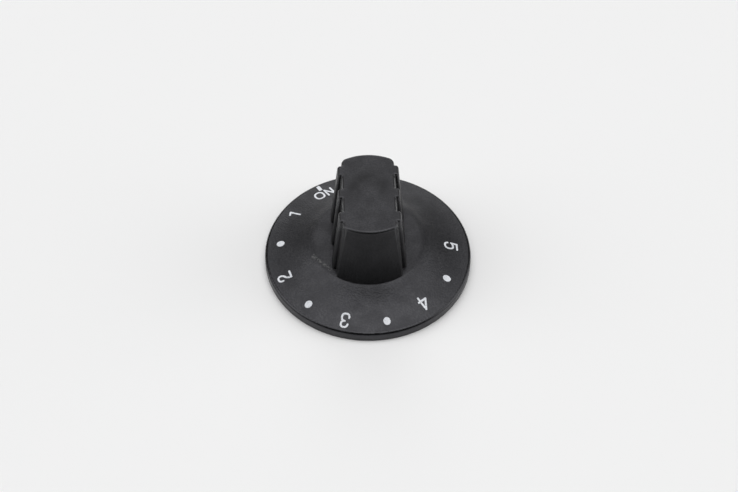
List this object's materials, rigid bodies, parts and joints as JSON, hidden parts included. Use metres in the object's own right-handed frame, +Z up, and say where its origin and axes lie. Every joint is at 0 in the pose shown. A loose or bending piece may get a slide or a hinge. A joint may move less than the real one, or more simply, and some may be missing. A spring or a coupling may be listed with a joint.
{
  "type": "control knob",
  "caption": "Round control knob with a flared dial skirt, printed scale, ribbed bar grip and a sprung D-spindle hub.",
  "frame": {"origin": "on the knob's axis, in the plane of the rim's lower face", "axes": "+Z up along the spindle axis out of the grip; the grip runs along Y, the dial's OFF end at +Y"},
  "size_m": [0.062, 0.062, 0.0299],
  "materials": {
    "skirt_plastic": "black moulded plastic, fine spark-eroded grain, white printed scale",
    "grip_plastic": "black moulded plastic, fine grain on top, smoother drafted sides",
    "hub_plastic": "dark grey glass-filled nylon",
    "spring_steel": "bright rolled spring steel",
    "band_steel": "zinc-plated rolled strip",
    "ring_steel": "oiled black spring steel, stamped"
  },
  "bodies": {
    "knob": {"dial_skirt": "skirt_plastic", "grip_body": "grip_plastic", "shaft_bush": "hub_plastic", "hub_clamp_ring": "band_steel", "dial_retaining_ring": "ring_steel"},
    "spring": {"leaf_spring": "spring_steel"}
  },
  "joints": [
    {"name": "leaf_flex", "type": "hinge", "parent": "knob", "child": "spring", "pos_m": [0, -0.0033, 0.0159], "axis": [-1, 0, 0], "range_deg": [0, 4], "stiffness_Nm_per_rad": 0.6}
  ]
}
